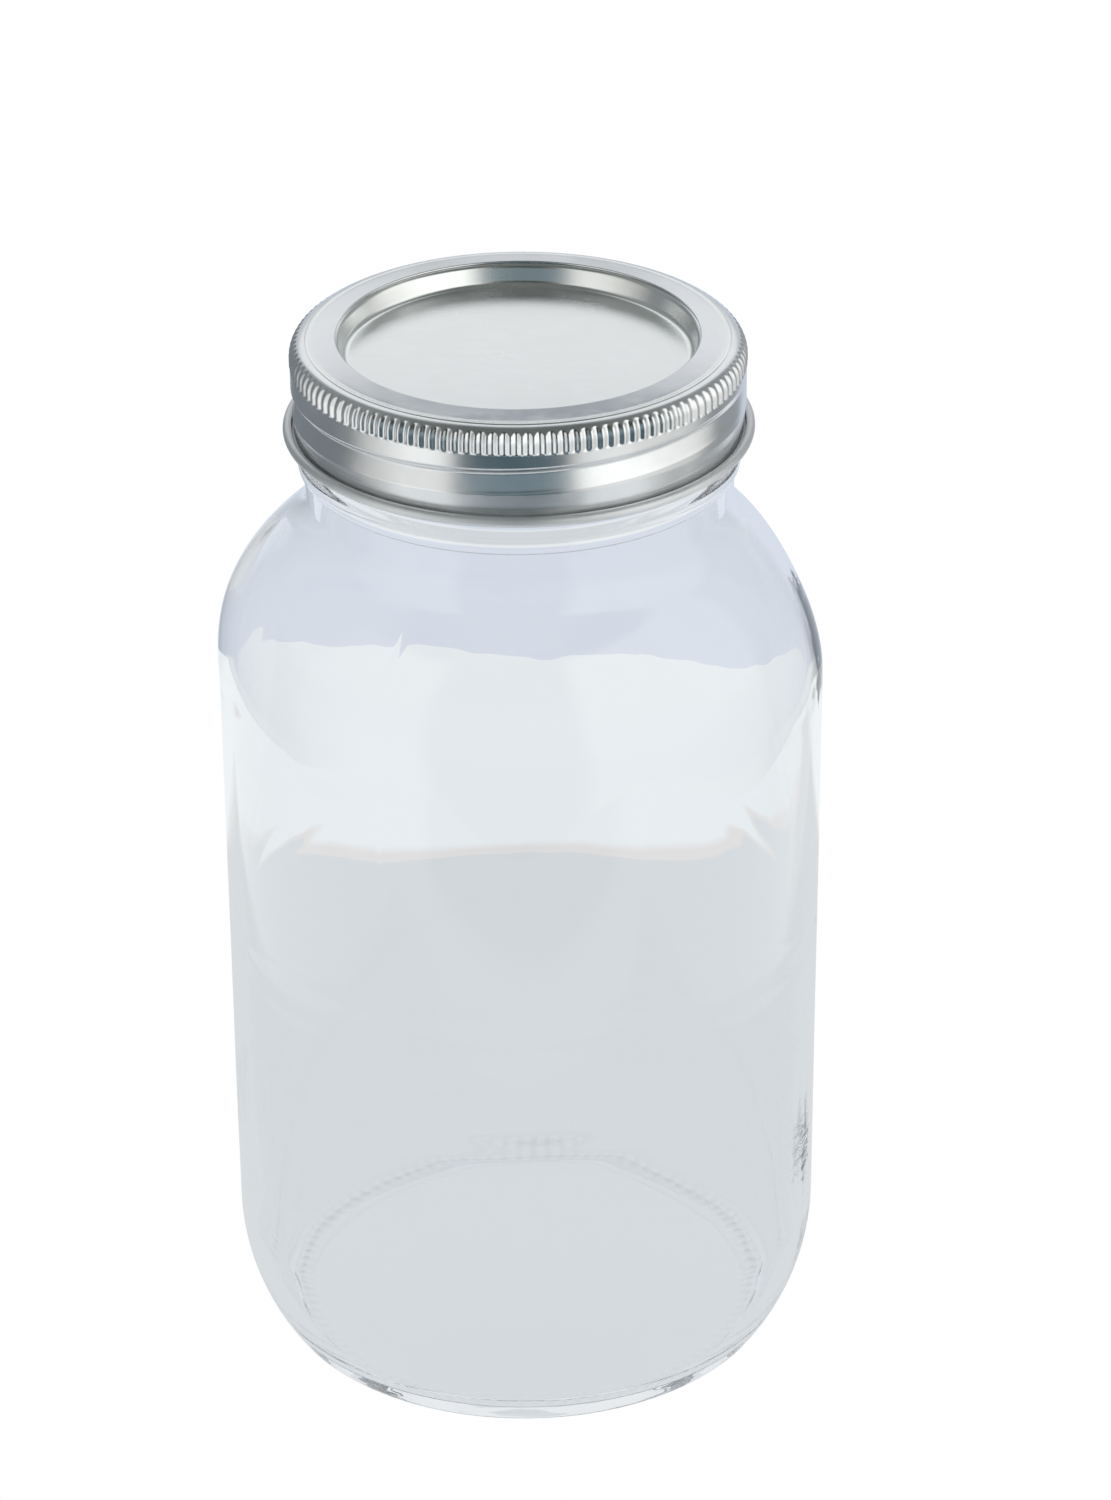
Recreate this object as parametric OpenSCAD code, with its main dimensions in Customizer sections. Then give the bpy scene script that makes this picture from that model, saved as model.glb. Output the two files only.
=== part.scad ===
// Mason jar with a two-piece lid: a blown glass jar with a continuous outside
// thread, a flat metal lid disc, the soft sealing ring bonded under it, and a
// threaded metal screw band. Millimetres, +Z up, and the origin is the centre
// of the ring that the jar stands on.

/* [Glass jar] */
// Height of the glass, from the standing ring to the rim
glass_h = 176.2; // [172:0.1:182]
// Outside diameter at the top of the straight side
body_d = 97.8; // [94:0.1:102]
// How much smaller the outside diameter is at the bottom of the side
body_taper = 1; // [0:0.1:2]
// Height where the straight side ends and the shoulder starts
shoulder_z = 119.5; // [117:0.1:121]
// Radius of the rounded shoulder
shoulder_r = 33; // [31:0.1:34]
// Radius of the hollow where the shoulder runs into the neck
neck_fillet_r = 9; // [7:0.1:10]
// Outside diameter of the neck
neck_d = 68.4; // [67:0.1:69]
// Radius of the rounded heel
heel_r = 36; // [30:0.5:40]
// Diameter of the ring that the jar stands on
standing_ring_d = 79; // [77:0.1:80]
// Width of the flat on the standing ring
standing_flat_w = 2; // [1:0.1:2.4]
// Wall thickness of the side, heel and shoulder
wall = 2.9; // [2.4:0.1:3.2]
// Thickness of the glass over the standing ring
ring_t = 3.4; // [3:0.1:4]
// Thickness of the glass at the middle of the base
base_t = 3.6; // [3.4:0.1:5]
// How far the middle of the base is pushed up
push_up = 3.2; // [2:0.1:4]
// Diameter of the mouth
mouth_d = 60.4; // [60:0.1:61]

/* [Thread] */
// Rise of the thread in one turn
thread_pitch = 6.35; // [6.2:0.01:6.5]
// Diameter of the glass under the thread
thread_root_d = 67.2; // [67:0.1:67.4]
// Diameter over the glass thread
thread_crest_d = 69.6; // [69.2:0.1:69.7]
// Length of the glass thread, in turns
thread_turns = 1.25; // [1:0.01:1.3]
// Distance from the rim down to the middle of the glass thread's upper end
thread_start_down = 3.2; // [3:0.1:3.6]

/* [Lid disc] */
// Outside diameter of the lid disc
disc_d = 68.3; // [68.2:0.1:68.5]
// Thickness of the lid sheet
disc_t = 0.25; // [0.2:0.01:0.3]
// Diameter of the sunken panel
panel_d = 54.6; // [52:0.1:55.2]
// Depth of the sunken panel below the raised rim of the disc
panel_depth = 3.3; // [2.5:0.1:3.6]
// How much higher the middle of the panel is than its edge
panel_crown = 0.3; // [0:0.1:1]

/* [Sealing ring] */
// Thickness of the sealing ring
seal_t = 0.92; // [0.8:0.01:1]
// Width of the sealing ring
seal_w = 2.9; // [2.5:0.1:3]

/* [Screw band] */
// Outside diameter of the plain wall of the band
band_d = 72.1; // [72:0.1:72.4]
// Thickness of the band sheet
band_t = 0.3; // [0.25:0.01:0.32]
// Height of the band
band_h = 16.4; // [15.6:0.1:17]
// Diameter of the opening in the top of the band
opening_d = 57.6; // [56:0.1:58]
// Diameter inside the thread that is rolled into the band
band_thread_d = 68.7; // [68.6:0.1:68.9]
// Length of the thread that is rolled into the band, in turns
band_thread_turns = 0.85; // [0.75:0.01:0.9]
// Number of grip knurls around the band
knurls = 125; // [100:1:130]
// Height of the knurls
knurl_h = 3.2; // [2.6:0.1:3.4]
// Radius of the curled edge at the bottom of the band
curl_r = 0.85; // [0.75:0.01:0.9]

/* [Hidden] */
$fn = 96;

// Gaps that keep neighbouring pieces from touching
seal_gap = 0.02;
disc_gap = 0.09;

// Glass
body_r = body_d / 2;
low_r = body_r - body_taper / 2;
neck_r = neck_d / 2;
mouth_r = mouth_d / 2;
ring_r = standing_ring_d / 2;
root_r = thread_root_d / 2;
shoulder_x = body_r - shoulder_r;
fillet_x = neck_r + neck_fillet_r;
fillet_reach = shoulder_r + neck_fillet_r;
fillet_z = shoulder_z + sqrt(fillet_reach ^ 2 - (fillet_x - shoulder_x) ^ 2);
shoulder_end = atan2(fillet_z - shoulder_z, fillet_x - shoulder_x);
bead_down = 19.2;
bead_z = glass_h - bead_down;
bead_r = 1.6;
bead_out = 1.1;
bead_end = 62;
finish_low_z = bead_z + 2.2;
ring_lip_r = 2;
ring_lip_start = -125;
dome_edge_z = 0.6;
rim_inner_r = 1;
rim_outer_r = 0.7;
arc_steps = 16;
lip_in = ring_r - standing_flat_w / 2;
lip_out = ring_r + standing_flat_w / 2;
heel_x = low_r - heel_r;
heel_z = ring_lip_r + sqrt((heel_r - ring_lip_r) ^ 2 - (lip_out - heel_x) ^ 2);

// Inside of the glass
inner_shoulder_r = shoulder_r - wall;
inner_fillet_r = 13;
inner_fillet_x = mouth_r + inner_fillet_r;
inner_fillet_reach = inner_shoulder_r + inner_fillet_r;
inner_fillet_z = shoulder_z + sqrt(inner_fillet_reach ^ 2 - (inner_fillet_x - shoulder_x) ^ 2);
inner_shoulder_end = atan2(inner_fillet_z - shoulder_z, inner_fillet_x - shoulder_x);
inner_heel_r = heel_r - wall;
foot_r = 5;
foot_z = ring_t + foot_r;
foot_turn = asin((heel_z - foot_z) / (inner_heel_r - foot_r));
foot_x = heel_x + (inner_heel_r - foot_r) * cos(foot_turn);
foot_end = 98;
floor_z = push_up + base_t;
floor_edge_r = foot_x + foot_r * cos(foot_end);
floor_edge_z = foot_z - foot_r * sin(foot_end);

// Lid stack, from the glass rim upwards
seal_z = glass_h + seal_gap;
seal_top = seal_z + seal_t;
disc_top = seal_top + seal_gap + disc_t;
closed_h = disc_top + disc_gap + band_t;
disc_r = disc_d / 2;
seal_side_gap = 0.15;
seal_out_r = disc_r - disc_t - seal_side_gap;

// Band
band_r = band_d / 2;
band_low = closed_h - band_h;
corner_r = 1.2;
corner_start = 75;
opening_r = opening_d / 2;
crown_r = band_r - 3;
crown_drop = 0.45;
knurl_top = closed_h - 1.4;
knurl_out_r = band_r + 0.3;
knurl_slot_r = 0.43;
knurl_slot_at = band_r + 0.45;
knurl_bite = 0.1;
knurl_margin = 0.3;
curl_sweep = 290;

// Threads: the band's thread lies just under the glass thread
thread_side = 1.6;
thread_root_depth = 0.7;
thread_edge_depth = 0.3;
band_thread_side = 2.2;
band_thread_skew = 0.9;
band_thread_bite = 0.04;
band_groove_top = 0.4;
band_groove_edge = 0.12;
band_groove_trim = 0.25;
thread_gap = 2.1;
thread_top_z = glass_h - thread_start_down;
thread_top_angle = 0;
band_thread_top_angle = -8;
band_thread_top_z = thread_top_z - thread_gap
    + thread_pitch * (band_thread_top_angle - thread_top_angle) / 360;
thread_fade = 24;
steps_per_turn = 60;
side_steps = 6;

// Points on an arc in the radius-height plane
function arc(x, z, r, from, to, steps = arc_steps) =
    [for (i = [0:steps]) let (a = from + (to - from) * i / steps) [x + r * cos(a), z + r * sin(a)]];

// Unit vector to the right of the path at its point i
function right_of(path, i) =
    let (d = path[min(i + 1, len(path) - 1)] - path[max(i - 1, 0)])
    [d[1], -d[0]] / norm(d);

// Closed outline of a sheet whose outer face follows the path
function sheet(path, t) =
    concat(path, [for (i = [len(path) - 1:-1:0]) let (p = path[i] + t * right_of(path, i))
        [max(0, p[0]), p[1]]]);

// Share of the full thread height at an angle from the thread's upper end
function fade(a, length) = max(0.04, min(1, a / thread_fade, (length - a) / thread_fade));

// Ridge that winds down around the Z axis from top_angle for a number of turns.
// It is flat at base_r and swells from side_r at its edges to crest_r at skew above its middle.
module helical_ridge(base_r, side_r, crest_r, side, skew, top_z, top_angle, turns) {
    length = 360 * turns;
    steps = ceil(steps_per_turn * turns);
    ring = side_steps + 3;
    points = [for (i = [0:steps]) let (
            a = length * i / steps,
            lift = (crest_r - side_r) * fade(a, length),
            mid_z = top_z - thread_pitch * a / 360,
            section = concat(
                [[base_r, -side]],
                [for (k = [0:side_steps]) let (s = 2 * k / side_steps - 1)
                    [side_r + lift * (1 + cos(180 * s)) / 2, s * side + skew * (1 - s ^ 2)]],
                [[base_r, side]]
            )
        )
        for (p = section)
            [p[0] * cos(top_angle - a), p[0] * sin(top_angle - a), mid_z + p[1]]];
    first_cap = [for (k = [0:ring - 1]) k];
    last_cap = [for (k = [ring - 1:-1:0]) steps * ring + k];
    sides = [for (i = [0:steps - 1], k = [0:ring - 1]) let (
            a = i * ring + k,
            b = i * ring + (k + 1) % ring,
            c = b + ring,
            d = a + ring
        )
        each [[a, d, c], [a, c, b]]];
    flip = base_r < crest_r;
    faces = concat([first_cap], [last_cap], sides);
    polyhedron(points, flip ? faces : [for (f = faces) [for (k = [len(f) - 1:-1:0]) f[k]]]);
}

// Outside of the glass, from the middle of the base out and up to the rim
function glass_outside() =
    let (
        dome_r = lip_in - ring_lip_r,
        heel_from = atan2(ring_lip_r - heel_z, lip_out - heel_x),
        bead_x = neck_r + bead_out - bead_r
    )
    concat(
        [for (i = [0:arc_steps]) let (s = i / arc_steps)
            [s * dome_r, dome_edge_z + (push_up - dome_edge_z) * (1 - s ^ 2)]],
        arc(lip_in, ring_lip_r, ring_lip_r, ring_lip_start, -90, 4),
        arc(lip_out, ring_lip_r, ring_lip_r, -90, heel_from, 8),
        arc(heel_x, heel_z, heel_r, heel_from, 0),
        arc(shoulder_x, shoulder_z, shoulder_r, 0, shoulder_end),
        arc(fillet_x, fillet_z, neck_fillet_r, 180 + shoulder_end, 180),
        arc(bead_x, bead_z, bead_r, -bead_end, bead_end, 10),
        [[root_r, finish_low_z]],
        arc(root_r - rim_outer_r, glass_h - rim_outer_r, rim_outer_r, 0, 90, 8)
    );

// Inside of the glass, from the rim down to the middle of the floor
function glass_inside() =
    concat(
        arc(mouth_r + rim_inner_r, glass_h - rim_inner_r, rim_inner_r, 90, 180, 8),
        arc(inner_fillet_x, inner_fillet_z, inner_fillet_r, 180, 180 + inner_shoulder_end),
        arc(shoulder_x, shoulder_z, inner_shoulder_r, inner_shoulder_end, 0),
        arc(heel_x, heel_z, inner_heel_r, 0, -foot_turn),
        arc(foot_x, foot_z, foot_r, -foot_turn, -foot_end),
        [for (i = [arc_steps - 1:-1:0]) let (s = i / arc_steps)
            [s * floor_edge_r, floor_z + (floor_edge_z - floor_z) * s ^ 2]]
    );

module glass_jar() {
    color([0.86, 0.91, 0.93, 0.4]) {
        rotate_extrude() polygon(concat(glass_outside(), glass_inside()));
        helical_ridge(root_r - thread_root_depth, root_r - thread_edge_depth, thread_crest_d / 2,
            thread_side, 0, thread_top_z, thread_top_angle, thread_turns);
    }
}

// Top face of the lid disc, from its middle out and down its edge
function disc_path() =
    let (
        panel_r = panel_d / 2,
        panel_z = disc_top - panel_depth,
        slope_w = 1.8,
        slope_r = panel_r + slope_w,
        foot_w = 0.6,
        foot_rise = 0.2,
        bend_w = 0.35,
        edge_r = 1,
        skirt_h = 1.35
    )
    concat(
        [for (i = [0:8]) let (s = i / 8) [s * (panel_r - foot_w), panel_z + panel_crown * (1 - s ^ 2)]],
        [[panel_r, panel_z + foot_rise]],
        [[panel_r + bend_w, panel_z + 0.6]],
        [[slope_r - bend_w, disc_top - 0.75]],
        [[slope_r, disc_top - foot_rise]],
        [[slope_r + 0.5, disc_top]],
        arc(disc_r - edge_r, disc_top - edge_r, edge_r, 90, 0, 6),
        [[disc_r, disc_top - skirt_h]]
    );

module lid_disc() {
    color([0.83, 0.85, 0.87])
        rotate_extrude() polygon(sheet(disc_path(), disc_t));
}

module sealing_ring() {
    edge = 0.25;
    shoulder = 0.5;
    in_r = seal_out_r - seal_w;
    color([0.38, 0.36, 0.35])
        rotate_extrude() polygon([
            [in_r, seal_top],
            [in_r, seal_z + edge],
            [in_r + edge, seal_z],
            [seal_out_r - edge, seal_z],
            [seal_out_r, seal_z + edge],
            [seal_out_r, seal_top - shoulder],
            [seal_out_r - shoulder, seal_top]
        ]);
}

// Outer face of the band, from the opening out, down the wall and into the curl
function band_path() =
    let (
        curl_x = band_r + curl_r - band_t,
        curl_z = band_low + curl_r
    )
    concat(
        [[opening_r, closed_h], [crown_r, closed_h]],
        arc(band_r - corner_r, closed_h - crown_drop - corner_r, corner_r, corner_start, 0, 8),
        arc(curl_x, curl_z, curl_r - band_t, 180, 180 + curl_sweep)
    );

module knurl_slots() {
    for (i = [0:knurls - 1])
        rotate(360 * i / knurls)
            translate([knurl_slot_at, 0, knurl_top - knurl_h])
                cylinder(h = knurl_h, r = knurl_slot_r, $fn = 24);
}

module knurl_ring() {
    difference() {
        translate([0, 0, knurl_top - knurl_h - knurl_margin])
            cylinder(h = knurl_h + knurl_margin + knurl_bite, r = knurl_out_r);
        translate([0, 0, knurl_top - knurl_h - 1])
            cylinder(h = knurl_h + 2, r = band_r - knurl_bite);
        knurl_slots();
    }
}

// The ridge rolled into the band, or with the sheet's thickness taken off, the groove on its outside
module band_ridge(base_r, side_r, off) {
    side = band_thread_side - (off > 0 ? band_groove_trim : 0);
    helical_ridge(base_r, side_r, band_thread_d / 2 + off, side, band_thread_skew,
        band_thread_top_z, band_thread_top_angle, band_thread_turns);
}

module screw_band() {
    color([0.78, 0.80, 0.82])
        difference() {
            union() {
                rotate_extrude() polygon(sheet(band_path(), band_t));
                knurl_ring();
                band_ridge(band_r - band_thread_bite, band_r - band_t / 2, 0);
            }
            band_ridge(band_r + band_groove_top, band_r + band_groove_edge, band_t);
        }
}

glass_jar();
lid_disc();
sealing_ring();
screw_band();
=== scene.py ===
"""Looks of the mason jar: glass jar, lid disc, sealing ring and screw band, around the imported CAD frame."""

import math

import bpy
import numpy as np
from mathutils import Matrix, Vector


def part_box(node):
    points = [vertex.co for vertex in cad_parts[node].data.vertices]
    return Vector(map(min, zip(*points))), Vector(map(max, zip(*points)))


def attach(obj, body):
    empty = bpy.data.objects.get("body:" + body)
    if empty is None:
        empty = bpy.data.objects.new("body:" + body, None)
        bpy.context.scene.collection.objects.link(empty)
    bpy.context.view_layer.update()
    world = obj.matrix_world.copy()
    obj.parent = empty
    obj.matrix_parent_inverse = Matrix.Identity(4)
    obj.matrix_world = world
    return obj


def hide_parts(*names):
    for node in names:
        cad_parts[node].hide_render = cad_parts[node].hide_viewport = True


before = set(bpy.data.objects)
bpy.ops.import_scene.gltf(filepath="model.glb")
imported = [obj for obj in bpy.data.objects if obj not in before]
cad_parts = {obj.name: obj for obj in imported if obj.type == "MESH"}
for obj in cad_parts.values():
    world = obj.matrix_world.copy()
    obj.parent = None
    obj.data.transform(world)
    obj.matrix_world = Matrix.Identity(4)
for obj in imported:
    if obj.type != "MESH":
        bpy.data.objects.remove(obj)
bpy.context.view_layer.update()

MM = 0.001
TAU = 2 * math.pi

# ---------------------------------------------------------------- sizes from the frame, in mm


def node_box(node):
    """Lowest and highest corner of a CAD node, in millimetres."""
    low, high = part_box(node)
    return low / MM, high / MM


jar_high = node_box("glass_jar")[1]
disc_high = node_box("lid_disc")[1]
seal_low, seal_high = node_box("sealing_ring")
band_low, band_high = node_box("screw_band")

GLASS_H = jar_high.z
BODY_R = jar_high.x
TOP = band_high.z
BAND_BOTTOM = band_low.z
CURL_OUT_R = band_high.x
DISC_R = disc_high.x
DISC_TOP = disc_high.z
SEAL_R = seal_high.x

# ---------------------------------------------------------------- mesh helpers


def arc(x, z, r, start, end, steps):
    """Points on an arc in the radius-height plane, angles in degrees."""
    angles = np.radians(np.linspace(start, end, steps + 1))
    return [(x + r * math.cos(a), z + r * math.sin(a)) for a in angles]


def line(a, b, steps):
    """Points on a straight stretch, without its first end."""
    across, up = b[0] - a[0], b[1] - a[1]
    return [(a[0] + across * i / steps, a[1] + up * i / steps) for i in range(1, steps + 1)]


def smooth(x):
    """Smooth step from 0 to 1 as x goes from 0 to 1."""
    t = np.clip(x, 0.0, 1.0)
    return t * t * (3 - 2 * t)


def bump(x):
    """Round bump, 1 at x = 0 and 0 from x = -1 and 1 outwards."""
    return np.where(np.abs(x) < 1, 0.5 * (1 + np.cos(math.pi * x)), 0.0)


def normals_2d(path):
    """Unit vectors to the right of a path in the radius-height plane."""
    p = np.asarray(path, float)
    step = np.gradient(p, axis=0)
    step /= np.linalg.norm(step, axis=1, keepdims=True)
    return np.stack([step[:, 1], -step[:, 0]], axis=1)


def sheet_outline(path, thickness):
    """Closed outline of a bent sheet whose outer face follows the path."""
    p = np.asarray(path, float)
    inner = p + thickness * normals_2d(p)
    inner[:, 0] = np.maximum(inner[:, 0], 0.0)
    return np.concatenate([p, inner[::-1]])


def turned_piece(name, outline, segments, closed, shape=None, sharp=35):
    """Turns an outline round Z. An open outline starts and ends on the axis, and a closed one is a ring.
    shape(r, z, angle) gives the moved r and z of every point, as arrays of one row per outline point."""
    p = np.asarray(outline, float)
    angle = np.arange(segments) * TAU / segments
    r = np.repeat(p[:, :1], segments, axis=1)
    z = np.repeat(p[:, 1:], segments, axis=1)
    if shape is not None:
        r, z = shape(r, z, angle[None, :])
    x, y = r * np.cos(angle), r * np.sin(angle)
    verts = np.stack([x, y, z], axis=-1) * MM
    rows = len(p)
    if closed:
        verts = verts.reshape(-1, 3)
        pairs = [(i, (i + 1) % rows) for i in range(rows)]
    else:
        first = np.array([[0, 0, z[0].mean() * MM]])
        last = np.array([[0, 0, z[-1].mean() * MM]])
        verts = np.concatenate([verts[1:-1].reshape(-1, 3), first, last])
        pairs = [(i, i + 1) for i in range(rows - 3)]
    here = np.arange(segments)
    there = (here + 1) % segments
    faces = []
    for i, k in pairs:
        a, b = i * segments, k * segments
        faces += np.stack([a + here, a + there, b + there, b + here], axis=1).tolist()
    if not closed:
        start, end = len(verts) - 2, len(verts) - 1
        last_row = (rows - 3) * segments
        faces += [[start, there[j], here[j]] for j in range(segments)]
        faces += [[end, last_row + here[j], last_row + there[j]] for j in range(segments)]
    mesh = bpy.data.meshes.new(name)
    mesh.from_pydata(verts.tolist(), [], faces)
    mesh.shade_smooth()
    mesh.set_sharp_from_angle(angle=math.radians(sharp))
    mesh.update()
    piece = bpy.data.objects.new(name, mesh)
    bpy.context.scene.collection.objects.link(piece)
    return piece


# ---------------------------------------------------------------- node helpers


def new_material(name):
    """Empty node material: the material, its tree and its output node."""
    material = bpy.data.materials.new(name)
    material.use_nodes = True
    tree = material.node_tree
    tree.nodes.clear()
    return material, tree, tree.nodes.new("ShaderNodeOutputMaterial")


def plug(tree, value, socket):
    """Links a socket, or sets a plain value."""
    if isinstance(value, bpy.types.NodeSocket):
        tree.links.new(value, socket)
    else:
        socket.default_value = value


def calc(tree, operation, a, b=0.0):
    """One Math node."""
    node = tree.nodes.new("ShaderNodeMath")
    node.operation = operation
    plug(tree, a, node.inputs[0])
    plug(tree, b, node.inputs[1])
    return node.outputs[0]


def remap(tree, value, low, high, to_low=0.0, to_high=1.0, kind="SMOOTHSTEP"):
    """One clamped Map Range node."""
    node = tree.nodes.new("ShaderNodeMapRange")
    node.interpolation_type = kind
    plug(tree, value, node.inputs["Value"])
    plug(tree, low, node.inputs["From Min"])
    plug(tree, high, node.inputs["From Max"])
    plug(tree, to_low, node.inputs["To Min"])
    plug(tree, to_high, node.inputs["To Max"])
    return node.outputs["Result"]


def window(tree, value, low, high, soft):
    """1 where value lies between low and high, with soft edges."""
    rise = remap(tree, value, low - soft, low + soft)
    fall = remap(tree, value, high - soft, high + soft, 1.0, 0.0)
    return calc(tree, "MULTIPLY", rise, fall)


def mix_colour(tree, factor, a, b):
    """Mixes two colours."""
    node = tree.nodes.new("ShaderNodeMix")
    node.data_type = "RGBA"
    plug(tree, factor, node.inputs[0])
    plug(tree, a, node.inputs[6])
    plug(tree, b, node.inputs[7])
    return node.outputs[2]


def noise(tree, vector, scale, detail=2.0, roughness=0.5):
    """Fac output of a Noise Texture."""
    node = tree.nodes.new("ShaderNodeTexNoise")
    tree.links.new(vector, node.inputs["Vector"])
    node.inputs["Scale"].default_value = scale
    node.inputs["Detail"].default_value = detail
    node.inputs["Roughness"].default_value = roughness
    return node.outputs["Fac"]


def stretched(tree, vector, scale):
    """Object coordinates stretched by a scale per axis."""
    node = tree.nodes.new("ShaderNodeMapping")
    tree.links.new(vector, node.inputs["Vector"])
    node.inputs["Scale"].default_value = scale
    return node.outputs["Vector"]


def object_coordinates(tree):
    """Coordinates in the piece's own frame, in metres."""
    return tree.nodes.new("ShaderNodeTexCoord").outputs["Object"]


def split_axes(tree, vector):
    """The x, y and z of a vector."""
    node = tree.nodes.new("ShaderNodeSeparateXYZ")
    tree.links.new(vector, node.inputs[0])
    return node.outputs


def bumped(tree, height, distance, strength=1.0, normal=None):
    """Normal from a height field."""
    node = tree.nodes.new("ShaderNodeBump")
    node.inputs["Strength"].default_value = strength
    node.inputs["Distance"].default_value = distance
    tree.links.new(height, node.inputs["Height"])
    if normal is not None:
        tree.links.new(normal, node.inputs["Normal"])
    return node.outputs["Normal"]


# ---------------------------------------------------------------- materials


GLASS_TINT = (0.963, 0.968, 0.973, 1)
# Painted shade: the dimmer glass colour in the hollows between the stipple marks of the standing ring
HOLLOW_PAINTED_SHADE = (0.86, 0.88, 0.885, 1)
GLASS_SHADOW = (0.93, 0.95, 0.96, 1)


def glass_material():
    """Clear soda-lime glass with a faint blue-grey tint, dimmed by painted shade in the hollows between the
    marks of the standing ring. Shadow and diffuse rays pass straight through."""
    material, tree, out = new_material("clear_glass")
    where = object_coordinates(tree)
    glass = tree.nodes.new("ShaderNodeBsdfPrincipled")
    x, y, z = split_axes(tree, where)
    squares = calc(tree, "ADD", calc(tree, "MULTIPLY", x, x), calc(tree, "MULTIPLY", y, y))
    radius = calc(tree, "SQRT", squares)
    wave = calc(tree, "COSINE", calc(tree, "MULTIPLY", calc(tree, "ARCTAN2", y, x), STIPPLES))
    on_ring = window(tree, radius, (STANDING_R - 1.6) * MM, (STANDING_R + 2.6) * MM, 0.6 * MM)
    on_ring = calc(tree, "MULTIPLY", on_ring, remap(tree, z, 1.0 * MM, 1.6 * MM, 1.0, 0.0))
    # Painted shade in the hollows between the stipple marks of the standing ring
    hollow_shade = calc(tree, "MULTIPLY", on_ring, remap(tree, wave, 0.3, -0.7))
    tree.links.new(mix_colour(tree, hollow_shade, GLASS_TINT, HOLLOW_PAINTED_SHADE), glass.inputs["Base Color"])
    glass.inputs["Roughness"].default_value = 0.0
    glass.inputs["IOR"].default_value = 1.5
    glass.inputs["Specular IOR Level"].default_value = 0.8
    glass.inputs["Transmission Weight"].default_value = 1.0
    ripple = noise(tree, stretched(tree, where, (1, 1, 0.35)), 60, 2)
    tree.links.new(bumped(tree, ripple, 0.0002, 0.5), glass.inputs["Normal"])
    clear = tree.nodes.new("ShaderNodeBsdfTransparent")
    clear.inputs["Color"].default_value = GLASS_SHADOW
    path = tree.nodes.new("ShaderNodeLightPath")
    passes = calc(tree, "MAXIMUM", path.outputs["Is Shadow Ray"], path.outputs["Is Diffuse Ray"])
    mix = tree.nodes.new("ShaderNodeMixShader")
    tree.links.new(passes, mix.inputs[0])
    tree.links.new(glass.outputs[0], mix.inputs[1])
    tree.links.new(clear.outputs[0], mix.inputs[2])
    tree.links.new(mix.outputs[0], out.inputs["Surface"])
    return material


def tinplate_material(name, colour, rough, grain, dull_below):
    """Satin tinplate: rolled grain along X, fine mottling and slightly uneven roughness. It is duller below
    a height (mm), as on the curled edge of the band."""
    material, tree, out = new_material(name)
    where = object_coordinates(tree)
    metal = tree.nodes.new("ShaderNodeBsdfPrincipled")
    metal.inputs["Metallic"].default_value = 1.0
    cloud = noise(tree, where, 90, 4, 0.6)
    rolled = noise(tree, stretched(tree, where, (220, 4200, 4200)), 1.0, 3, 0.6)
    speck = noise(tree, where, 5200, 2, 0.6)
    dark = tuple(c * 0.93 for c in colour) + (1,)
    light = tuple(min(1.0, c * 1.03) for c in colour) + (1,)
    tree.links.new(mix_colour(tree, remap(tree, cloud, 0.3, 0.7), dark, light), metal.inputs["Base Color"])
    uneven = calc(tree, "MULTIPLY_ADD", remap(tree, cloud, 0.25, 0.75), 0.06)
    uneven.node.inputs[2].default_value = rough - 0.03
    fine = calc(tree, "MULTIPLY_ADD", rolled, 0.08)
    tree.links.new(uneven, fine.node.inputs[2])
    height = split_axes(tree, where)[2]
    dull = remap(tree, height, (dull_below + 0.15) * MM, (dull_below - 0.15) * MM, 0.0, 0.3)
    tree.links.new(calc(tree, "ADD", fine, dull), metal.inputs["Roughness"])
    rolled_normal = bumped(tree, rolled, 0.000006, grain)
    tree.links.new(bumped(tree, speck, 0.000008, grain, rolled_normal), metal.inputs["Normal"])
    tree.links.new(metal.outputs[0], out.inputs["Surface"])
    return material


def seal_material():
    """Soft plastisol compound: dull grey-brown with flow marks and tiny pits."""
    material, tree, out = new_material("seal_compound")
    where = object_coordinates(tree)
    body = tree.nodes.new("ShaderNodeBsdfPrincipled")
    flow = noise(tree, where, 260, 3, 0.6)
    pits = noise(tree, where, 2600, 2, 0.5)
    colour = mix_colour(tree, flow, (0.20, 0.185, 0.175, 1), (0.27, 0.25, 0.235, 1))
    tree.links.new(colour, body.inputs["Base Color"])
    tree.links.new(remap(tree, flow, 0.2, 0.8, 0.45, 0.62, "LINEAR"), body.inputs["Roughness"])
    body.inputs["Specular IOR Level"].default_value = 0.45
    tree.links.new(bumped(tree, pits, 0.00003, 0.5, bumped(tree, flow, 0.0001, 0.4)), body.inputs["Normal"])
    tree.links.new(body.outputs[0], out.inputs["Surface"])
    return material


# ---------------------------------------------------------------- glass jar

# Lengths in mm and angles in degrees. Angle 0 is +X, and -90 is the front.
THREAD_PITCH = 6.35
THREAD_TOP_DOWN = 3.2
THREAD_TOP_ANGLE = -22
THREAD_TURNS = 1.25
THREAD_ROOT_R = 33.6
THREAD_HEIGHT = 1.2
THREAD_SIDE = 1.3
THREAD_FADE = 24
SEAM_ANGLE = -117
WALL = 2.9
STANDING_R = 39.5
STANDING_FLAT = 2.0
STIPPLES = 104
STIPPLE_DEPTH = 0.07
STIPPLE_REACH = 2.6
SEAM_HEIGHT = 0.09
SEAM_SIDE = 0.35
SHOULDER_LEAN = -1.2
LEAN_MIDDLE_Z = 134
LEAN_REACH = 17
FINISH_H = 17


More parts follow.
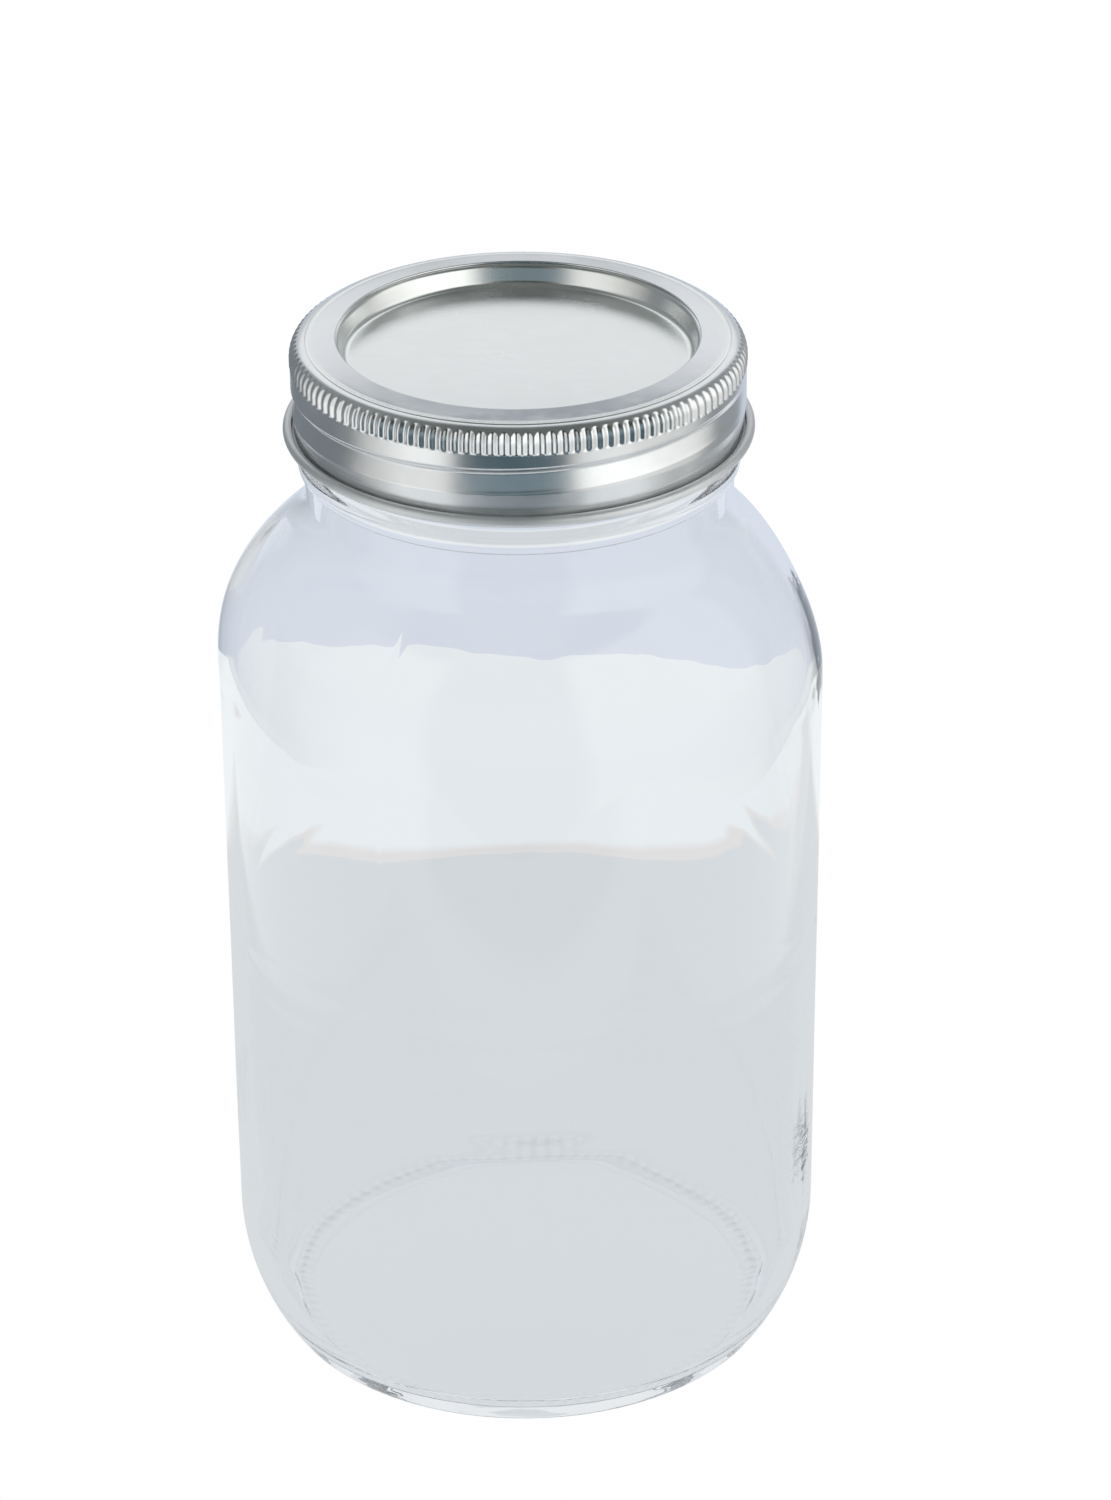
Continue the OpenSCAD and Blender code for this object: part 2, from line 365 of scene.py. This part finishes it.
def thread_lift(angle, z):
    """Height from 0 to 1 of the glass thread, which winds down clockwise, at each angle and z (mm)."""
    lift = np.zeros(np.broadcast(angle, z).shape)
    length = 360 * THREAD_TURNS
    behind = (THREAD_TOP_ANGLE - np.degrees(angle)) % 360
    for lap in range(int(math.ceil(THREAD_TURNS)) + 1):
        travel = behind + 360 * lap
        ends = smooth(travel / THREAD_FADE) * smooth((length - travel) / THREAD_FADE)
        middle = GLASS_H - THREAD_TOP_DOWN - THREAD_PITCH * travel / 360
        lift = np.maximum(lift, ends * bump((z - middle) / THREAD_SIDE))
    return lift


def jar_outline():
    """Outline of the glass from the middle of the underside, round the outside and the rim, and down the
    inside to the middle of the floor. It gives the outside and the inside as two lists of points."""
    low_r, shoulder_z, shoulder_r = BODY_R - 0.5, 119.5, 33.0
    neck_r, fillet_r, heel_r, lip_r = 34.2, 9.0, 36.0, 2.0
    push_up, floor_z = 3.2, 6.8
    dome_edge_z, dome_margin = 0.03, 0.6
    lip_in, lip_out = STANDING_R - STANDING_FLAT / 2, STANDING_R + STANDING_FLAT / 2
    shoulder_x, fillet_x = BODY_R - shoulder_r, neck_r + fillet_r
    fillet_z = shoulder_z + math.sqrt((shoulder_r + fillet_r) ** 2 - (fillet_x - shoulder_x) ** 2)
    turn = math.degrees(math.atan2(fillet_z - shoulder_z, fillet_x - shoulder_x))
    heel_x = low_r - heel_r
    heel_z = lip_r + math.sqrt((heel_r - lip_r) ** 2 - (lip_out - heel_x) ** 2)
    heel_from = math.degrees(math.atan2(lip_r - heel_z, lip_out - heel_x))
    bead_z, bead_r, bead_out, bead_end = GLASS_H - 19.2, 1.6, 1.1, 62
    bead_x = neck_r + bead_out - bead_r
    finish_low = bead_z + 2.2
    rim_out, rim_in, mouth_r = 0.7, 1.0, 30.2
    dome_r = lip_in - dome_margin
    dome_rise = push_up - dome_edge_z
    outside = [(s * dome_r, dome_edge_z + dome_rise * (1 - s * s)) for s in np.linspace(0, 1, 30)]
    outside += line(outside[-1], (lip_in, 0), 2)
    outside += line((lip_in, 0), (lip_out, 0), 6)
    outside += arc(lip_out, lip_r, lip_r, -90, heel_from, 9)[1:]
    outside += arc(heel_x, heel_z, heel_r, heel_from, 0, 26)[1:]
    outside += line((low_r, heel_z), (BODY_R, shoulder_z), 24)
    outside += arc(shoulder_x, shoulder_z, shoulder_r, 0, turn, 34)[1:]
    outside += arc(fillet_x, fillet_z, fillet_r, 180 + turn, 180, 16)[1:]
    outside += arc(bead_x, bead_z, bead_r, -bead_end, bead_end, 14)
    outside += line(outside[-1], (THREAD_ROOT_R, finish_low), 3)
    outside += line((THREAD_ROOT_R, finish_low), (THREAD_ROOT_R, GLASS_H - rim_out), 56)
    outside += arc(THREAD_ROOT_R - rim_out, GLASS_H - rim_out, rim_out, 0, 90, 6)[1:]
    inner_heel_r, foot_r, foot_z, foot_end = heel_r - WALL, 5.0, 3.4, 98
    foot_drop = heel_z - foot_r - foot_z
    foot_turn = math.degrees(math.asin(foot_drop / (inner_heel_r - foot_r)))
    foot_x = heel_x + (inner_heel_r - foot_r) * math.cos(math.radians(foot_turn))
    inside = arc(mouth_r + rim_in, GLASS_H - rim_in, rim_in, 90, 180, 8)
    bend_r, inner_shoulder_r = 13.0, shoulder_r - WALL
    bend_x = mouth_r + bend_r
    bend_z = shoulder_z + math.sqrt((inner_shoulder_r + bend_r) ** 2 - (bend_x - shoulder_x) ** 2)
    inner_turn = math.degrees(math.atan2(bend_z - shoulder_z, bend_x - shoulder_x))
    inside += line(inside[-1], (mouth_r, bend_z), 14)
    inside += arc(bend_x, bend_z, bend_r, 180, 180 + inner_turn, 18)[1:]
    inside += arc(shoulder_x, shoulder_z, inner_shoulder_r, inner_turn, 0, 30)[1:]
    inside += line((BODY_R - WALL, shoulder_z), (low_r - WALL, heel_z), 120)
    inside += arc(heel_x, heel_z, inner_heel_r, 0, -foot_turn, 22)[1:]
    inside += arc(foot_x, foot_z + foot_r, foot_r, -foot_turn, -foot_end, 14)[1:]
    edge_r, edge_z = inside[-1]
    floor_rise = edge_z - floor_z
    inside += [(s * edge_r, floor_z + floor_rise * s * s) for s in np.linspace(1, 0, 24)[1:]]
    return outside, inside


def jar_shape(outside_rows):
    """Moves the turned outline: thread, mould seams, stippled standing ring and the uneven blown wall."""

    def shape(r, z, angle):
        outer = np.zeros(r.shape, bool)
        outer[:outside_rows] = True
        finish = outer & (z > GLASS_H - FINISH_H)
        new_r = r + np.where(finish, THREAD_HEIGHT * thread_lift(angle, z), 0.0)
        seam_off = (np.degrees(angle) - SEAM_ANGLE + 90) % 180 - 90
        seam = np.exp(-((np.radians(seam_off) * r / SEAM_SIDE) ** 2))
        on_side = smooth((z - 96) / 20) * smooth((GLASS_H - 16 - z) / 3)
        new_r += np.where(outer, SEAM_HEIGHT * seam * on_side, 0.0)
        waves = (
            0.10 * np.sin(3 * angle + z / 17 + 0.6)
            + 0.07 * np.sin(5 * angle - z / 11 + 2.1)
            + 0.05 * np.sin(9 * angle + z / 23 + 4.0)
            + 0.05 * np.sin(2 * angle - z / 7 + 1.2)
            + 0.06 * np.sin(z / 1.3 + np.sin(2 * angle)) * bump((z - 76 - 2 * np.sin(3 * angle)) / 6)
            + 0.05 * np.sin(z / 1.6 + np.sin(3 * angle)) * bump((z - 58 - 2 * np.cos(2 * angle)) / 5)
        )
        on_wall = smooth((z - 12) / 20) * smooth((GLASS_H - 28 - z) / 14)
        new_r += np.where(outer, 0.25, 1.0) * waves * on_wall
        on_ring = bump((r - STANDING_R) / STIPPLE_REACH) * (z < 4) * outer
        gap = 0.5 * (1 - np.cos(STIPPLES * angle))
        new_z = z + STIPPLE_DEPTH * on_ring * gap
        lean = SHOULDER_LEAN * bump((z - LEAN_MIDDLE_Z) / LEAN_REACH) * np.cos(angle)
        return new_r + lean, new_z

    return shape


def build_glass_jar():
    """The glass, as one closed turned mesh."""
    outside, inside = jar_outline()
    piece = turned_piece(
        "jar_glass", outside + inside, STIPPLES * 6, False, jar_shape(len(outside)), sharp=50
    )
    piece.data.materials.append(glass_material())
    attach(piece, "jar")
    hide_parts("glass_jar")
    return piece


# ---------------------------------------------------------------- lid disc and sealing ring

DISC_SHEET = 0.25
DISC_TINT = (0.86, 0.87, 0.86)
PANEL_R = 27.3
PANEL_DEPTH = 3.3
PANEL_CROWN = 0.3
SEAL_W = 2.9


def build_lid_disc():
    """Pressed sheet: a sunken panel with a slightly domed middle, a sloped wall, a flat rim and a skirt."""
    panel_z = DISC_TOP - PANEL_DEPTH
    slope_r = PANEL_R + 1.6
    foot_r, brow_r, edge_r, skirt_h = 1.2, 1.1, 1.0, 1.35
    flat_r = PANEL_R - 0.7
    path = [(s * flat_r, panel_z + PANEL_CROWN * (1 - s * s)) for s in np.linspace(0, 1, 30)]
    path += arc(PANEL_R - 0.6, panel_z + foot_r, foot_r, -88, -23, 10)
    path += arc(slope_r + 0.45, DISC_TOP - brow_r, brow_r, 157, 90, 10)
    path += line(path[-1], (DISC_R - edge_r, DISC_TOP), 5)
    path += arc(DISC_R - edge_r, DISC_TOP - edge_r, edge_r, 90, 0, 8)[1:]
    path += line((DISC_R, DISC_TOP - edge_r), (DISC_R, DISC_TOP - skirt_h), 2)
    outline = sheet_outline(path, DISC_SHEET)
    piece = turned_piece("disc_sheet", outline, 288, False)
    material = tinplate_material("disc_tinplate", DISC_TINT, 0.20, 0.3, DISC_TOP - 9)
    piece.data.materials.append(material)
    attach(piece, "lid")
    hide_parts("lid_disc")
    return piece


def build_sealing_ring():
    """Soft ring under the rim of the disc, with a shallow groove where the glass presses into it."""
    low, high = seal_low.z, seal_high.z
    in_r = SEAL_R - SEAL_W
    mid = (in_r + SEAL_R) / 2
    edge_r, chamfer = 0.3, 0.5
    outline = [(in_r, high)]
    outline += line(outline[-1], (in_r, low + edge_r), 3)
    outline += arc(in_r + edge_r, low + edge_r, edge_r, 180, 270, 5)[1:]
    outline += [(mid - 0.7, low + 0.02), (mid - 0.35, low + 0.09), (mid, low + 0.11)]
    outline += [(mid + 0.35, low + 0.09), (mid + 0.7, low + 0.02)]
    outline += arc(SEAL_R - edge_r, low + edge_r, edge_r, 270, 360, 5)
    outline += [(SEAL_R, high - chamfer), (SEAL_R - chamfer, high)]
    outline += line(outline[-1], outline[0], 8)[:-1]
    piece = turned_piece("seal_compound_ring", outline, 288, True)
    piece.data.materials.append(seal_material())
    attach(piece, "lid")
    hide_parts("sealing_ring")
    return piece


# ---------------------------------------------------------------- screw band

BAND_SHEET = 0.3
KNURLS = 125
KNURL_TOP = 1.0
KNURL_BOTTOM = 4.75
KNURL_DEPTH = 0.38
KNURL_RISE = 0.35
GROOVE_TOP_ANGLE = -8
GROOVE_LENGTH = 306
GROOVE_DEPTH = 1.05
GROOVE_FRONT_DOWN = 7.25
BAND_TUCK = 0.35
BAND_TINT = (0.80, 0.81, 0.82)


def build_screw_band():
    """Drawn sheet: a sloped flange, a knurled upper wall, the rolled-in thread and a curled bottom edge."""
    wall_r = CURL_OUT_R - 1.35
    curl_r = 0.85
    curl_x = wall_r + curl_r - BAND_SHEET
    curl_z = BAND_BOTTOM + curl_r
    opening_r, crown_from, crown_to = 28.8, 32.0, 33.9
    crown_slope, rim_slope = 5.5, 12.0
    crown_drop = math.tan(math.radians(crown_slope)) * (crown_from - opening_r)
    blend_slope = (crown_slope + rim_slope) / 2
    rim_drop = crown_drop + math.tan(math.radians(blend_slope)) * (crown_to - crown_from)
    corner_r = (wall_r - crown_to) / (1 - math.sin(math.radians(rim_slope)))
    corner_x = wall_r - corner_r
    corner_z = TOP - rim_drop - corner_r * math.cos(math.radians(rim_slope))
    path = [(opening_r, TOP - 0.22), (opening_r + 0.05, TOP - 0.1), (opening_r + 0.17, TOP - 0.03)]
    path += line(path[-1], (crown_from, TOP - crown_drop), 8)
    for s in np.linspace(0, 1, 9)[1:]:
        slope = math.tan(math.radians(crown_slope + (blend_slope - crown_slope) * s))
        out = (crown_to - crown_from) * s
        path.append((crown_from + out, TOP - crown_drop - slope * out))
    path += arc(corner_x, corner_z, corner_r, 90 - rim_slope, 0, 22)[1:]
    path += line((wall_r, corner_z), (wall_r, curl_z), 100)
    path += arc(curl_x, curl_z, curl_r - BAND_SHEET, 180, 488, 27)[1:]
    outline = sheet_outline(path, BAND_SHEET)

    def shape(r, z, angle):
        down = TOP - z
        on_wall = (r > wall_r - 2.2) & (r < wall_r + 0.05) & (z > curl_z) & (down > 0.85)
        slot_ends = smooth((down - KNURL_TOP) / 0.55) * smooth((KNURL_BOTTOM - down) / 0.45)
        slots = (0.5 - 0.5 * np.cos(KNURLS * angle)) * slot_ends - KNURL_RISE * slot_ends
        behind = (GROOVE_TOP_ANGLE - np.degrees(angle)) % 360
        middle = GROOVE_FRONT_DOWN - THREAD_PITCH * (90 + GROOVE_TOP_ANGLE - behind) / 360
        ends = smooth(behind / 40) * smooth((GROOVE_LENGTH - behind) / 60)
        past = down - middle
        upper_flank = smooth((past + 0.55) / 1.5)
        lower_flank = 1 - np.clip((past - 1.0) / 3.0, 0, 1)
        lower_flank = lower_flank - 0.06 * bump((past - 4.0) / 0.8)
        groove = GROOVE_DEPTH * ends * upper_flank * np.maximum(lower_flank, 0)
        tuck = BAND_TUCK * np.clip((down - 11.2) / 3.0, 0, 1)
        inward = KNURL_DEPTH * slots + groove + tuck
        return r - np.where(on_wall, inward, 0.0), z

    piece = turned_piece("band_sheet", outline, KNURLS * 12, True, shape)
    piece.data.materials.append(tinplate_material("band_tinplate", BAND_TINT, 0.19, 0.35, curl_z + 0.95))
    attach(piece, "band")
    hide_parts("screw_band")
    return piece


# ---------------------------------------------------------------- floor, light and camera

# Half sizes and edges of the floor and the table top, in metres
FLOOR_HALF = 6.0
FLOOR_GAP = 0.0003
# Half size of the square of painted shadow of the jar round its foot
PAINTED_SHADOW_HALF = 0.154
TABLE_HALF = 0.244
SEEN_EDGE = 0.0006
SHADE_FROM = 0.19
SHADE_TO = 0.21

# Tones of the table top: painted shadow of the jar round its foot, its warmer edge, a cloth round it and a
# shaded front edge
# Painted shadow: the jar's shadow on the table top round its foot
PAINTED_SHADOW_TONE = (0.70, 0.73, 0.755, 1)
# Warmer band at the edge of the painted shadow
SHADOW_EDGE_TONE = (0.80, 0.78, 0.77, 1)
CLOTH_TONE = (0.88, 0.915, 0.935, 1)
TABLE_SHADE = (0.16, 0.19, 0.20, 1)

# Tones of the studio that the metal and the glass reflect
SWEEP_LOW = (0.66, 0.72, 0.82, 1)
SWEEP_MID = (0.55, 0.58, 0.60, 1)
SWEEP_HIGH = (1.00, 1.02, 1.04, 1)
SWEEP_FLAG = (0.10, 0.13, 0.17, 1)
OVERHEAD = (0.14, 0.155, 0.15, 1)
ROOM_LEFT = (0.21, 0.235, 0.255, 1)
ROOM_RIGHT = (0.32, 0.34, 0.355, 1)
ROOM_HIGH = (0.26, 0.28, 0.28, 1)
FRONT_LOW = (0.065, 0.11, 0.135, 1)
FRONT_MID = (0.20, 0.27, 0.31, 1)
FRONT_HIGH = (0.035, 0.042, 0.036, 1)
LIGHT_TONE = (1.30, 1.31, 1.28, 1)

# The two light panels: from and to azimuth, from and to elevation, and their soft edge, in degrees
RIGHT_LIGHT = (24, 108)
LEFT_LIGHT = (-92, -31)
LIGHT_HEIGHT = (-36, 50)
LIGHT_SOFT = 8

# Tones of the background seen through the glass, low and high
GLASS_LOW = (0.72, 0.77, 0.86, 1)
GLASS_HIGH = (0.86, 0.88, 0.90, 1)
WHITE = (1, 1, 1, 1)
BLACK = (0, 0, 0, 1)


def build_floor():
    """Pale floor. The camera sees it white. Glass and metal see only a small table top, softer in tone, with
    painted shadow round the jar.
    """
    half = FLOOR_HALF
    mesh = bpy.data.meshes.new("floor")
    corners = [(-half, -half, 0), (half, -half, 0), (half, half, 0), (-half, half, 0)]
    mesh.from_pydata(corners, [], [(0, 1, 2, 3)])
    floor = bpy.data.objects.new("floor", mesh)
    bpy.context.scene.collection.objects.link(floor)
    floor.location.z = -FLOOR_GAP
    material, tree, out = new_material("floor")
    where = object_coordinates(tree)
    x, y = split_axes(tree, where)[:2]
    reach = calc(tree, "MAXIMUM", calc(tree, "ABSOLUTE", x), calc(tree, "ABSOLUTE", y))
    # Painted shadow of the jar round its foot, with a warmer band at its edge
    tone = mix_colour(tree, remap(tree, reach, PAINTED_SHADOW_HALF - SEEN_EDGE, PAINTED_SHADOW_HALF), PAINTED_SHADOW_TONE, SHADOW_EDGE_TONE)
    tone = mix_colour(tree, remap(tree, reach, PAINTED_SHADOW_HALF + 0.003, PAINTED_SHADOW_HALF + 0.008), tone, CLOTH_TONE)
    side = calc(tree, "ABSOLUTE", calc(tree, "ARCTAN2", x, calc(tree, "MULTIPLY", y, -1)))
    far = remap(tree, reach, SHADE_FROM, SHADE_TO)
    shade = calc(tree, "MULTIPLY", remap(tree, side, 0.5, 0.66, 1.0, 0.0), far)
    path = tree.nodes.new("ShaderNodeLightPath")
    shade = calc(tree, "MULTIPLY", shade, calc(tree, "SUBTRACT", 0.8, path.outputs["Is Transmission Ray"]))
    tone = mix_colour(tree, calc(tree, "MAXIMUM", shade, 0), tone, TABLE_SHADE)
    table = tree.nodes.new("ShaderNodeEmission")
    tree.links.new(tone, table.inputs["Color"])
    gone = tree.nodes.new("ShaderNodeBsdfTransparent")
    seen = tree.nodes.new("ShaderNodeMixShader")
    tree.links.new(remap(tree, reach, TABLE_HALF - SEEN_EDGE, TABLE_HALF), seen.inputs[0])
    tree.links.new(table.outputs[0], seen.inputs[1])
    tree.links.new(gone.outputs[0], seen.inputs[2])
    white = tree.nodes.new("ShaderNodeEmission")
    mix = tree.nodes.new("ShaderNodeMixShader")
    tree.links.new(path.outputs["Is Camera Ray"], mix.inputs[0])
    tree.links.new(seen.outputs[0], mix.inputs[1])
    tree.links.new(white.outputs[0], mix.inputs[2])
    tree.links.new(mix.outputs[0], out.inputs["Surface"])
    mesh.materials.append(material)


def light_panel(tree, azimuth, elevation, sides):
    """1 where a tall light panel stands, between two azimuths in degrees."""
    across = window(tree, azimuth, *sides, LIGHT_SOFT)
    return calc(tree, "MULTIPLY", across, window(tree, elevation, *LIGHT_HEIGHT, 4))


def build_world():
    """Studio round the jar: white for the camera. Reflections see two tall soft panels, a dim front and a
    pale sweep behind. Azimuth 0 is the front and grows to the right, and both angles are in degrees."""
    world = bpy.data.worlds.new("studio")
    bpy.context.scene.world = world
    world.use_nodes = True
    tree = world.node_tree
    tree.nodes.clear()
    out = tree.nodes.new("ShaderNodeOutputWorld")
    x, y, z = split_axes(tree, tree.nodes.new("ShaderNodeTexCoord").outputs["Generated"])
    elevation = calc(tree, "DEGREES", calc(tree, "ARCSINE", z))
    azimuth = calc(tree, "DEGREES", calc(tree, "ARCTAN2", x, calc(tree, "MULTIPLY", y, -1)))
    path = tree.nodes.new("ShaderNodeLightPath")
    in_glass = path.outputs["Is Transmission Ray"]
    room = mix_colour(tree, remap(tree, azimuth, -10, 10), ROOM_LEFT, ROOM_RIGHT)
    room = mix_colour(tree, remap(tree, elevation, 10, 40), room, ROOM_HIGH)
    sweep = mix_colour(tree, remap(tree, elevation, -4, 6), SWEEP_LOW, SWEEP_MID)
    sweep = mix_colour(tree, remap(tree, elevation, 13, 19), sweep, SWEEP_HIGH)
    off_back = calc(tree, "SUBTRACT", 180, calc(tree, "ABSOLUTE", azimuth))
    flag = window(tree, elevation, 31, 40, 1.5)
    flag = calc(tree, "MULTIPLY", flag, remap(tree, off_back, 7, 15, 1.0, 0.0))
    flag = calc(tree, "MULTIPLY", flag, calc(tree, "SUBTRACT", 1, in_glass))
    sweep = mix_colour(tree, flag, sweep, SWEEP_FLAG)
    right_or_high = calc(tree, "MAXIMUM", azimuth, calc(tree, "MULTIPLY", elevation, 10))
    reach = remap(tree, right_or_high, -40, 10, 18, 38)
    behind = remap(tree, off_back, calc(tree, "SUBTRACT", reach, 10), reach, 1.0, 0.0)
    tone = mix_colour(tree, behind, room, sweep)
    front = window(tree, azimuth, -70, 70, 12)
    dark = mix_colour(tree, remap(tree, elevation, -18, 8), FRONT_LOW, FRONT_MID)
    dark = mix_colour(tree, remap(tree, elevation, 16, 31), dark, FRONT_HIGH)
    tone = mix_colour(tree, front, tone, dark)
    right = light_panel(tree, azimuth, elevation, RIGHT_LIGHT)
    left = light_panel(tree, azimuth, elevation, LEFT_LIGHT)
    high = remap(tree, elevation, -12, 10)
    right_tone = remap(tree, high, 0, 1, 0.72, 1.0, "LINEAR")
    right_tone = calc(tree, "MULTIPLY", right_tone, remap(tree, azimuth, 60, 104, 1.0, 0.72, "LINEAR"))
    left_tone = remap(tree, high, 0, 1, 0.88, 0.74, "LINEAR")
    left_tone = calc(tree, "MULTIPLY", left_tone, remap(tree, azimuth, -90, -52, 0.5, 1.0))
    right_shine = calc(tree, "MULTIPLY", right, right_tone)
    shine = calc(tree, "ADD", right_shine, calc(tree, "MULTIPLY", left, left_tone))
    shine = calc(tree, "MULTIPLY", shine, remap(tree, elevation, -38, -28, 0.6, 1.0))
    panel = mix_colour(tree, shine, BLACK, LIGHT_TONE)
    tone = mix_colour(tree, calc(tree, "MAXIMUM", right, left), tone, panel)
    tone = mix_colour(tree, remap(tree, elevation, 50, 66), tone, OVERHEAD)
    glow = mix_colour(tree, remap(tree, elevation, -5, 30), GLASS_LOW, GLASS_HIGH)
    tone = mix_colour(tree, in_glass, tone, glow)
    tone = mix_colour(tree, path.outputs["Is Camera Ray"], tone, WHITE)
    background = tree.nodes.new("ShaderNodeBackground")
    tree.links.new(tone, background.inputs["Color"])
    tree.links.new(background.outputs[0], out.inputs["Surface"])


# Camera: lens in mm, distances in metres from the jar's axis and foot, and angles in degrees
SENSOR_WIDTH = 36
LENS = 140.2
VIEW_DISTANCE = 0.963
VIEW_ELEVATION = 28.7
VIEW_HEIGHT = 0.087
CAMERA_PITCH = 27.838
CAMERA_YAW = 0.328
CAMERA_ROLL = 0.55
GLASS_BOUNCES = 80
CLEAR_BOUNCES = 64


def build_camera():
    """Long lens in front of the jar, looking down on it."""
    data = bpy.data.cameras.new("camera")
    data.sensor_width = SENSOR_WIDTH
    data.lens = LENS
    camera = bpy.data.objects.new("camera", data)
    bpy.context.scene.collection.objects.link(camera)
    rise = math.radians(VIEW_ELEVATION)
    place = Vector((0, -VIEW_DISTANCE * math.cos(rise), VIEW_HEIGHT + VIEW_DISTANCE * math.sin(rise)))
    turn = Matrix.Rotation(math.radians(90 - CAMERA_PITCH), 4, "X")
    yaw = Matrix.Rotation(math.radians(-CAMERA_YAW), 4, "Y")
    roll = Matrix.Rotation(math.radians(-CAMERA_ROLL), 4, "Z")
    camera.matrix_world = Matrix.Translation(place) @ turn @ yaw @ roll
    bpy.context.scene.camera = camera


def set_render_look():
    """Plain colours, and enough bounces for light that is guided inside the glass wall."""
    scene = bpy.context.scene
    scene.view_settings.view_transform = "Standard"
    scene.cycles.max_bounces = GLASS_BOUNCES
    scene.cycles.transmission_bounces = GLASS_BOUNCES
    scene.cycles.glossy_bounces = GLASS_BOUNCES
    scene.cycles.transparent_max_bounces = CLEAR_BOUNCES
    scene.cycles.caustics_reflective = False
    scene.cycles.caustics_refractive = False


build_glass_jar()
build_lid_disc()
build_sealing_ring()
build_screw_band()
build_floor()
build_world()
build_camera()
set_render_look()
